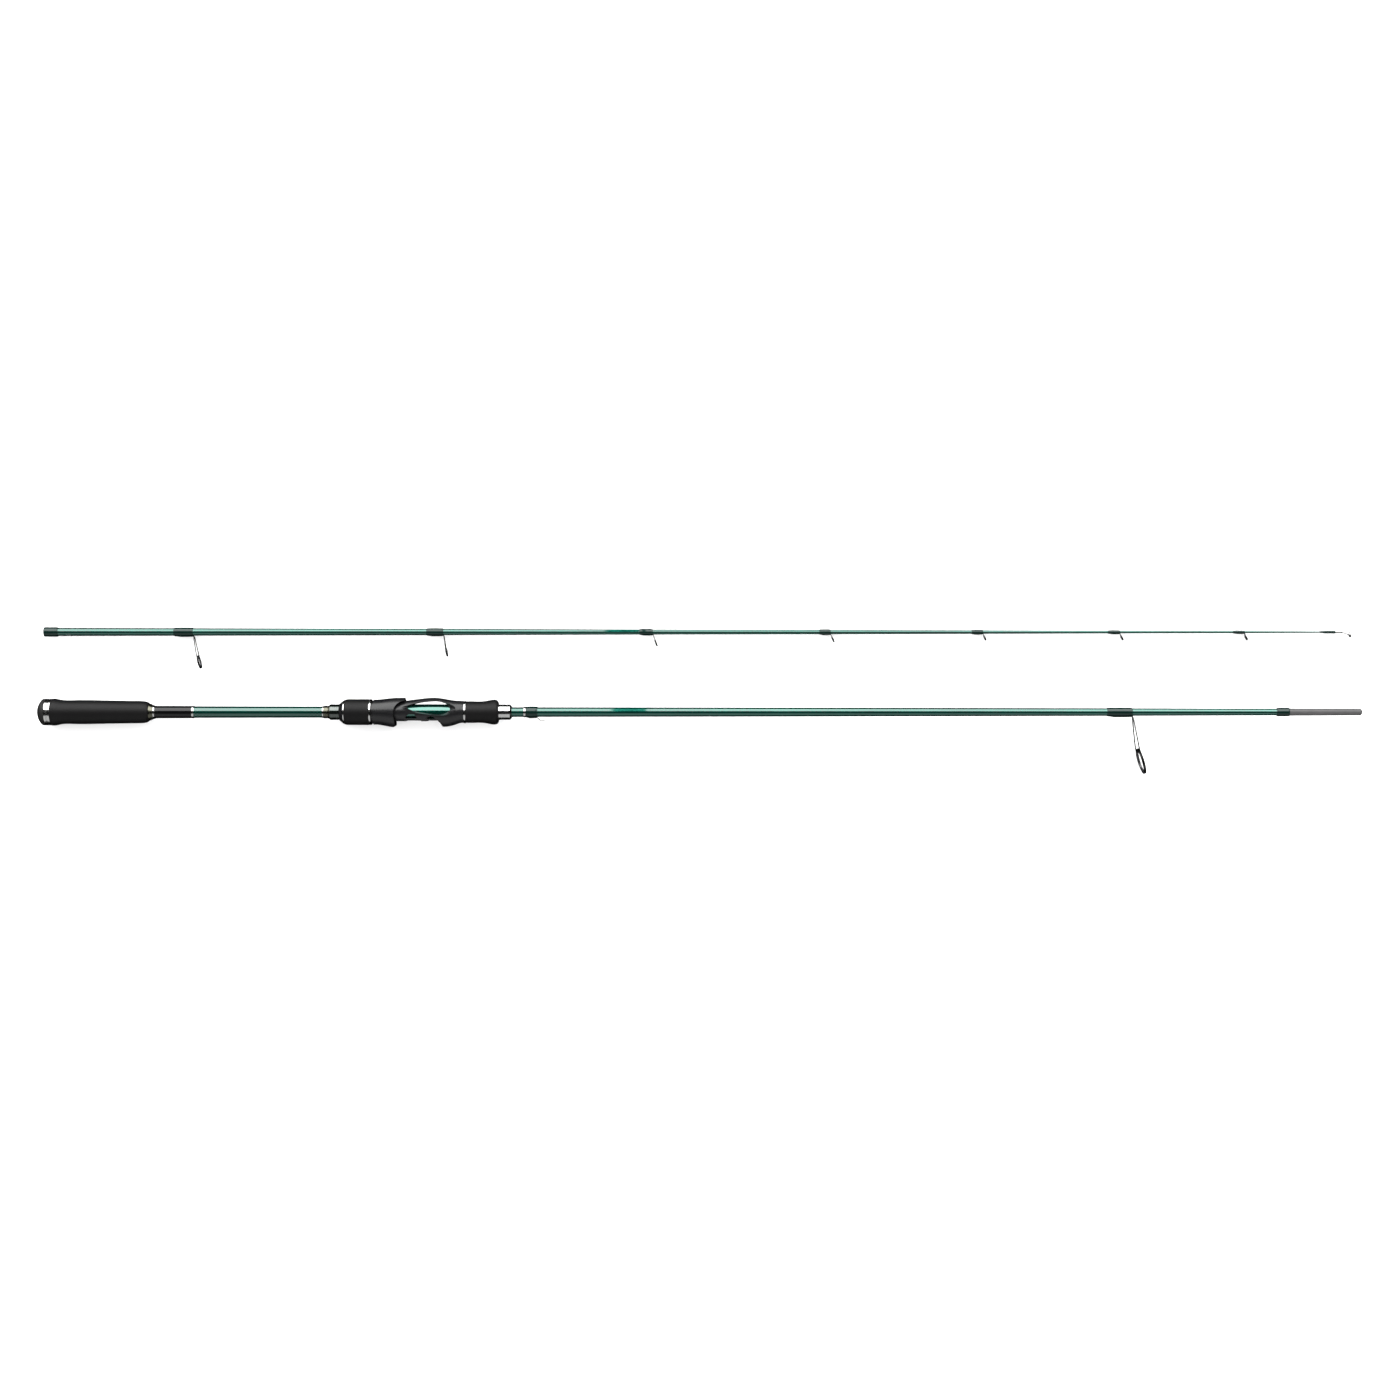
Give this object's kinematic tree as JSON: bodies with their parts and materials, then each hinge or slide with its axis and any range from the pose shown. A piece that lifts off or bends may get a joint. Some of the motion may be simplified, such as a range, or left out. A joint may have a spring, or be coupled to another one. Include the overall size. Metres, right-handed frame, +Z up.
{
  "type": "fishing rod",
  "caption": "Two-section spinning fishing rod taken apart for carrying, with a skeleton reel seat, screw hood, foam grips and single-foot line guides.",
  "frame": {"origin": "on the floor under the centre of the part's box, with both sections lying side by side", "axes": "+X from the butt towards the tip, +Y from the guides' side towards the rod's back, +Z up from the floor"},
  "size_m": [1.26, 0.14, 0.0257],
  "materials": {
    "green_blank": "clear-coated metallic green over fibre composite, bare matt grey at the ferrule",
    "eva_foam": "closed-cell foam, finely sanded",
    "black_plastic": "satin moulded",
    "green_tube": "metallic green lacquer",
    "green_thread": "dark green thread under clear epoxy",
    "black_thread": "black thread under clear epoxy",
    "bright_metal": "bright turned",
    "dark_metal": "dark olive gunmetal anodised",
    "guide_metal": "dark polished stainless",
    "tip_metal": "polished stainless",
    "ceramic": "polished dark ceramic",
    "cap_rubber": "moulded, fine concentric rings",
    "arbor_foam": "rigid foam"
  },
  "bodies": {
    "butt_section": {"butt_blank": "green_blank", "ferrule_end_plug": "black_plastic", "butt_cap": "cap_rubber", "butt_cap_ring": "bright_metal", "rear_grip": "eva_foam", "rear_grip_check": "dark_metal", "rear_check_trim": "bright_metal", "rear_black_wrap": "black_thread", "rear_wrap_trim": "bright_metal", "seat_check_trim": "bright_metal", "seat_rear_check": "dark_metal", "seat_tube": "green_tube", "seat_rear_arbor": "arbor_foam", "seat_front_arbor": "arbor_foam", "seat_body": "black_plastic", "foregrip_ring": "bright_metal", "foregrip": "eva_foam", "foregrip_check": "bright_metal", "keeper_trim": "bright_metal", "keeper_wrap": "green_thread", "hook_keeper": "guide_metal", "male_ferrule_wrap": "green_thread", "guide_1_frame": "guide_metal", "guide_1_ring": "ceramic", "guide_1_wrap": "green_thread"},
    "hood": {"hood": "black_plastic"},
    "hood_nut": {"nut_core": "black_plastic", "nut_rear_ring": "bright_metal", "nut_grip": "eva_foam", "nut_front_ring": "bright_metal"},
    "tip_section": {"tip_blank": "green_blank", "female_ferrule_wrap": "green_thread", "tip_top_frame": "tip_metal", "tip_top_ring": "ceramic", "tip_top_wrap": "green_thread", "guide_2_frame": "guide_metal", "guide_2_ring": "ceramic", "guide_2_wrap": "green_thread", "guide_3_frame": "guide_metal", "guide_3_ring": "ceramic", "guide_3_wrap": "green_thread", "guide_4_frame": "guide_metal", "guide_4_ring": "ceramic", "guide_4_wrap": "green_thread", "guide_5_frame": "guide_metal", "guide_5_ring": "ceramic", "guide_5_wrap": "green_thread", "guide_6_frame": "guide_metal", "guide_6_ring": "ceramic", "guide_6_wrap": "green_thread", "guide_7_frame": "guide_metal", "guide_7_ring": "ceramic", "guide_7_wrap": "green_thread", "guide_8_frame": "guide_metal", "guide_8_ring": "ceramic", "guide_8_wrap": "green_thread"}
  },
  "joints": [
    {"name": "hood_slide", "type": "slide", "parent": "butt_section", "child": "hood", "axis": [1, 0, 0], "range_m": [-0.0086, 0.0041]},
    {"name": "nut_turn", "type": "hinge", "parent": "hood", "child": "hood_nut", "pos_m": [-0.327, -0.01098, 0.01285], "axis": [1, 0, 0], "range_deg": [-1530, 720]},
    {"name": "tip_section_slide", "type": "slide", "parent": "butt_section", "child": "tip_section", "axis": [1, 0, 0], "range_m": [0, 1.28]}
  ],
  "couplings": [
    {"joint": "hood_slide", "follows": "nut_turn", "m_per_rad": 0.00031831}
  ]
}
